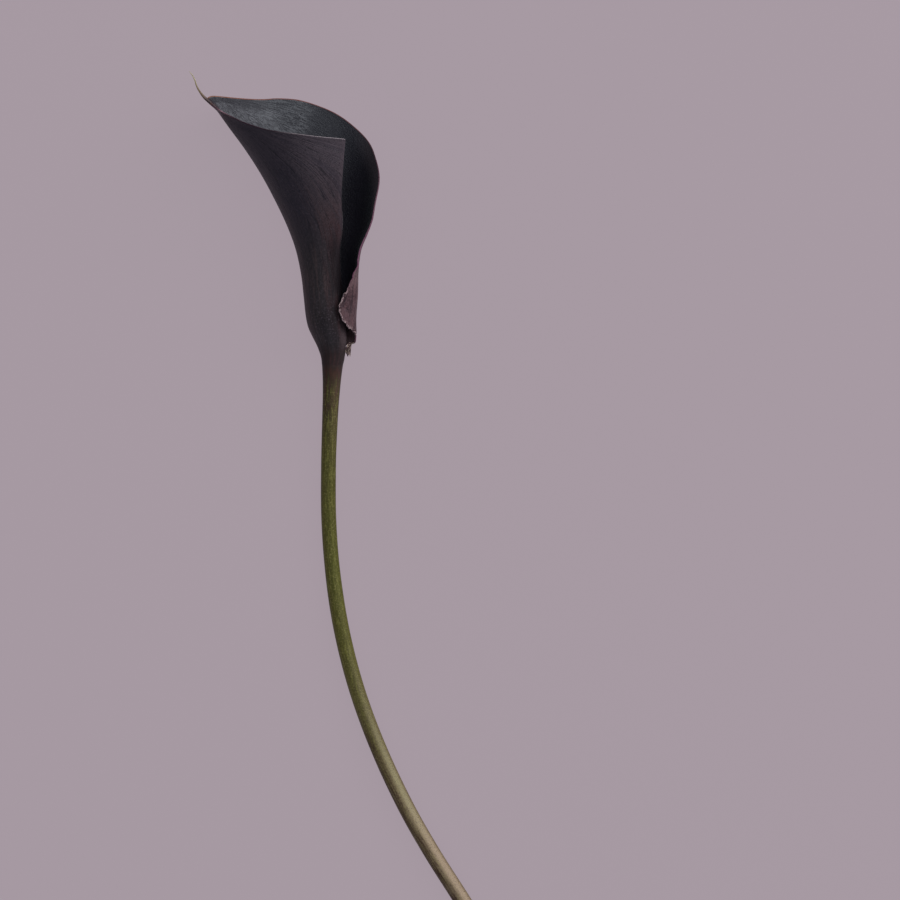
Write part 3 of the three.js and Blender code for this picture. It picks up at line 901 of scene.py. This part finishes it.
class CallaSizes(bpy.types.PropertyGroup):
    """Sizes of the flower's pieces."""

    sheet_columns: bpy.props.IntProperty(
        name="Sheet Columns", description="Faces across the spathe's sheet", default=340, min=60)
    sheet_rows: bpy.props.IntProperty(
        name="Sheet Rows", description="Faces up the spathe's sheet", default=140, min=30)
    wall: length_property("Wall", "Thickness of the spathe's sheet", 0.00092, 0.0002)
    rim_wall: length_property("Rim Wall", "Thickness near the sheet's margins", 0.0006, 0.0001)
    rib_depth: length_property("Rib Depth", "Depth of the fine ribs along the sheet", 0.00005)


class CallaColours(bpy.types.PropertyGroup):
    """Colours of the flower and of the floor."""

    outside_dark: colour_property("Outside Dark", "Dark parts of the outside", linear(37, 34, 43))
    # The tone of the veins, also used for the outside's painted light and its grain.
    outside_light: colour_property("Outside Light", "Light parts of the outside", linear(60, 53, 60))
    foot_dark: colour_property("Foot Dark", "Dark parts near the foot", linear(42, 38, 40))
    foot_light: colour_property("Foot Light", "Light parts near the foot", linear(54, 40, 42))
    lobe: colour_property("Lobe", "Outside of the lapped lobe", linear(90, 66, 70))
    inside_dark: colour_property("Inside Dark", "Dark parts of the inside", linear(24, 23, 31))
    # The bloom's grey-blue, with the inside's painted sheen in it.
    inside_painted_sheen: colour_property("Inside Light", "Bloom on the inside", linear(81, 83, 89))
    floor: colour_property("Floor", "Colour of the floor", linear(167, 154, 163))


class CallaStage(bpy.types.PropertyGroup):
    """Camera, light and floor."""

    camera_height: length_property("Camera Height", "Height of the camera above the floor", 2.5, 0.5)
    light_power: number_property("Light Power", "Watts of a lamp whose share is 1", 18.0)
    ambient: number_property("Ambient", "Strength of the light from all round", 0.035)
    floor_glow: number_property(
        "Floor Glow", "Share of the floor's brightness from below", 0.93, max=1, subtype="FACTOR")


# ---- operators ----

class MESH_OT_calla_spathe(bpy.types.Operator):
    """Build the spathe: one sheet rolled into a trumpet and lapped over at the front"""

    bl_idname = "mesh.calla_spathe"
    bl_label = "Spathe"

    def execute(self, context):
        sizes, look = context.scene.calla_sizes, context.scene.calla_colours
        bm = new_bmesh("lane", "rise", "turn", "margin", "lap")
        verts, u, v = unit_grid(bm, sizes.sheet_columns, sizes.sheet_rows)
        u, v = crowded(u, MARGIN_CROWDING[0]), crowded(v, MARGIN_CROWDING[1])
        turn, height = sheet_place(u, v)
        middle, normal = sheet_point(turn, height, v), sheet_normal(u, v)
        margin = margin_distance(u, v, middle)
        lane = vein_lane(turn, height)
        ribs = ripple(lane, RIBS) * smooth_step(margin, 0, RIB_FADE) * sizes.rib_depth / MM
        thick = mix(sizes.rim_wall, sizes.wall, smooth_step(margin, 0, WALL_FADE)) / MM / 2
        nose = np.minimum(margin / ROUNDING, 1)
        half = thick * np.sqrt(1 - (1 - nose) ** 2) * fullness(height)
        no_rim = 3 * smooth_step(height, 3, -1)  # keeps the rim's line off the thin foot
        lap = smooth_step(turn, 150, 185) * smooth_step(height, 70, 35)
        write_layers(
            bm, verts, lane=lane, rise=height / BLOOM_HEIGHT, turn=turn, margin=margin + no_rim, lap=lap)
        # What was made first becomes the outside, and a copy of it the inside.
        outside = set(bm.faces)
        copy = bmesh.ops.duplicate(bm, geom=bm.verts[:] + bm.edges[:] + bm.faces[:])
        inner = [copy["vert_map"][vert] for vert in verts]
        for face in bm.faces:
            face.material_index = 0 if face in outside else 1
        bmesh.ops.reverse_faces(bm, faces=[f for f in bm.faces if f not in outside])
        move_to(verts, middle + normal * (half + ribs)[:, None])
        move_to(inner, middle - normal * (half - ribs)[:, None])
        rims = [vert for vert in bm.verts if vert.is_boundary]
        bmesh.ops.remove_doubles(bm, verts=rims, dist=WELD)
        materials = [spathe_outside(look), spathe_inside(look)]
        finish_mesh(bm, "spathe_sheet", materials, "spathe")
        return {"FINISHED"}


class MESH_OT_calla_tail(bpy.types.Operator):
    """Build the tail that the midrib runs out into"""

    bl_idname = "mesh.calla_tail"
    bl_label = "Tail"

    def execute(self, context):
        points, directions = spline_through(TAIL_POINTS, 70)
        bm = new_bmesh()
        tube(bm, points, directions, 20, lambda share, angle: TAIL_RADIUS(share))
        close_tube(bm)
        finish_mesh(bm, "spathe_tail", [tail_skin()], "spathe")
        return {"FINISHED"}


class MESH_OT_calla_stem(bpy.types.Operator):
    """Build the stem and the pale tissue of its cut end"""

    bl_idname = "mesh.calla_stem"
    bl_label = "Stem"

    def execute(self, context):
        rows = 260
        share = np.linspace(0, 1, rows + 1)
        y = mix(STEM_CUT, STEM_TOP, 1 - (1 - share) ** STEM_CROWDING)
        flat = math.cos(math.pi / FACETS)
        points = np.stack([STEM_SIDE(y), y, STEM_RADIUS(y) * flat + STEM_LIFT(y)], -1)
        directions = unit(np.gradient(points, axis=0))
        radius = STEM_RADIUS(y) + STEM_COLLAR(y)

        def size(v, angle):
            ring = np.rint(v * rows).astype(int)
            waves = ripple(angle / (2 * np.pi), STEM_RIBS)
            return radius[ring] + waves * smooth_step(share[ring], 1.0, 0.9)

        bm = new_bmesh("around")
        verts, v, angle = tube(bm, points, directions, 64, size)
        write_layers(bm, verts, around=angle / (2 * np.pi))
        for vert in bm.verts:
            vert.co.z = max(vert.co.z, 0)
        ends = close_tube(bm)
        cut = min(ends, key=lambda face: face.calc_center_median().y)
        cut.material_index = 1
        for thickness, depth in CUT_STEPS:
            bmesh.ops.inset_individual(bm, faces=[cut], thickness=thickness * MM, depth=depth * MM)
        finish_mesh(bm, "stem_rod", [stem_skin(), cut_tissue()], "stem")
        return {"FINISHED"}


class MESH_OT_calla_spadix(bpy.types.Operator):
    """Build the spadix with its closely set florets"""

    bl_idname = "mesh.calla_spadix"
    bl_label = "Spadix"

    def execute(self, context):
        rows = 240
        heights = np.linspace(SPADIX_BOTTOM, SPADIX_TOP, rows + 1)
        points = sheet_centre(heights)
        directions = unit(np.gradient(points, axis=0))

        def dome(v, angle):
            """Height of the floret at a place, from 0 between florets to 1 on top of one."""
            row = v * (SPADIX_TOP - SPADIX_BOTTOM) / FLORET_PITCH
            best = np.zeros_like(v)
            for k in (0, 1):
                level = np.floor(row) + k
                column = angle / (2 * np.pi) * FLORETS_AROUND + 0.5 * (level % 2)
                across = (column - np.rint(column)) * FLORET_SPACING / FLORET_PITCH
                away = np.hypot(across, row - level) / FLORET_RADIUS
                best = np.maximum(best, np.sqrt(np.clip(1 - away ** 2, 0, 1)))
            return best

        def size(v, angle):
            ends = smooth_step(v, 0, 0.03) * smooth_step(1 - v, 0, 0.03)
            relief = (dome(v, angle) - 0.5) * FLORET_HEIGHT * ends
            return SPADIX_RADIUS(mix(SPADIX_BOTTOM, SPADIX_TOP, v)) + relief

        bm = new_bmesh("dome")
        verts, v, angle = tube(bm, points, directions, 128, size)
        write_layers(bm, verts, dome=dome(v, angle))
        close_tube(bm)
        finish_mesh(bm, "spadix_rod", [spadix_grain()], "spadix")
        return {"FINISHED"}


class MESH_OT_calla_scrap(bpy.types.Operator):
    """Build the withered scrap at the foot of the lapped lobe"""

    bl_idname = "mesh.calla_scrap"
    bl_label = "Withered Scrap"

    def execute(self, context):
        bm = new_bmesh()
        rows = 40
        verts, u, v = unit_grid(bm, 12, rows)
        middle, _ = spline_through(SCRAP_LINE, rows + 1)
        ring = np.rint(v * rows).astype(int)
        half_width = (SCRAP_HALF_WIDTH + 0.2 * np.sin(v * 11 + 1)) * smooth_step(1.25 - v, 0, 0.4)
        across = (u - 0.5) * 2 * half_width
        crumple = 0.45 * np.sin(u * 7 + v * 5) + 0.3 * np.sin(u * 3 - v * 13)
        ragged = 0.5 * np.sin(u * 9 + 2) * v ** 4
        points = middle[ring] + np.stack([across, ragged, crumple], -1)
        move_to(verts, points)
        bmesh.ops.solidify(bm, geom=bm.faces[:], thickness=SCRAP_THICKNESS * MM)
        finish_mesh(bm, "withered_scrap", [withered_skin()])
        return {"FINISHED"}


# What the picture shows on a plane so high above the floor: its width and its middle, in metres.
PICTURE_WIDTH, PICTURE_MIDDLE, PICTURE_HEIGHT = 0.396, (0.04198, 0.03498), 0.010
SENSOR = 36.0  # millimetres
FLOOR_HALF = 4.0
LAMP_AIM, LAMP_DISTANCE = Vector((-0.01, 0.1, 0.02)), 1.7
# Name, direction round the flower and above the floor in degrees, size, share of the power, colour.
LAMPS = (
    ("key", 30, 32, 1.2, 1.1, (1.0, 0.97, 0.95)),
    ("top", 62, 66, 1.2, 0.72, (1.0, 0.98, 0.98)),
    ("left", 172, 52, 1.1, 0.22, (0.9, 0.95, 1.0)),
    ("right", 352, 14, 0.9, 0.18, (1.0, 0.97, 0.97)),
    ("front", 270, 30, 1.2, 0.36, (0.97, 0.97, 1.0)),
)


class SCENE_OT_calla_stage(bpy.types.Operator):
    """Set up the floor, the soft light and the camera that looks down on the flower"""

    bl_idname = "scene.calla_stage"
    bl_label = "Stage"

    def execute(self, context):
        scene, stage = context.scene, context.scene.calla_stage
        bm = new_bmesh()
        bmesh.ops.create_grid(bm, x_segments=1, y_segments=1, size=FLOOR_HALF)
        finish = floor_finish(scene.calla_colours, stage.floor_glow)
        mesh_object(bm, "floor", [finish])

        data = bpy.data.cameras.new("camera")
        data.sensor_width = SENSOR
        data.lens = SENSOR * (stage.camera_height - PICTURE_HEIGHT) / PICTURE_WIDTH
        data.clip_start, data.clip_end = 0.05, 20.0
        scene.camera = new_object("camera", data)
        scene.camera.location = (*PICTURE_MIDDLE, stage.camera_height)

        for name, turn, rise, size, share, colour in LAMPS:
            turn, rise = math.radians(turn), math.radians(rise)
            level = math.cos(rise)
            away = Vector((math.cos(turn) * level, math.sin(turn) * level, math.sin(rise)))
            light = bpy.data.lights.new(name, "AREA")
            light.shape = "DISK"
            light.size = size
            light.energy = share * stage.light_power
            light.color = colour
            lamp = new_object(name, light)
            lamp.location = LAMP_AIM + away * LAMP_DISTANCE
            lamp.rotation_euler = (-away).to_track_quat("-Z", "Y").to_euler()

        world = bpy.data.worlds.new("studio")
        world.use_nodes = True
        background = world.node_tree.nodes["Background"]
        background.inputs["Color"].default_value = (1.0, 0.97, 0.99, 1)
        background.inputs["Strength"].default_value = stage.ambient
        scene.world = world
        scene.view_settings.view_transform = "Standard"
        return {"FINISHED"}


class VIEW3D_PT_calla(bpy.types.Panel):
    """Lists the flower's pieces and settings"""

    bl_label = "Calla Lily Flower"
    bl_idname = "VIEW3D_PT_calla"
    bl_space_type = "VIEW_3D"
    bl_region_type = "UI"
    bl_category = "Calla"

    def draw(self, context):
        for operator in OPERATORS:
            self.layout.operator(operator.bl_idname)
        for name, group in GROUPS.items():
            for setting in group.__annotations__:
                self.layout.prop(getattr(context.scene, name), setting)


GROUPS = {"calla_sizes": CallaSizes, "calla_colours": CallaColours, "calla_stage": CallaStage}
OPERATORS = (
    SCENE_OT_calla_stage, MESH_OT_calla_spathe, MESH_OT_calla_tail, MESH_OT_calla_stem,
    MESH_OT_calla_spadix, MESH_OT_calla_scrap,
)


def register():
    for group in (*GROUPS.values(), *OPERATORS, VIEW3D_PT_calla):
        bpy.utils.register_class(group)
    for name, group in GROUPS.items():
        setattr(bpy.types.Scene, name, bpy.props.PointerProperty(type=group))


def unregister():
    for name in GROUPS:
        delattr(bpy.types.Scene, name)
    for group in reversed((*GROUPS.values(), *OPERATORS, VIEW3D_PT_calla)):
        bpy.utils.unregister_class(group)


def main():
    register()
    bpy.ops.scene.calla_stage()
    bpy.ops.mesh.calla_spathe()
    bpy.ops.mesh.calla_tail()
    bpy.ops.mesh.calla_stem()
    bpy.ops.mesh.calla_spadix()
    bpy.ops.mesh.calla_scrap()


if __name__ == "__main__":
    main()
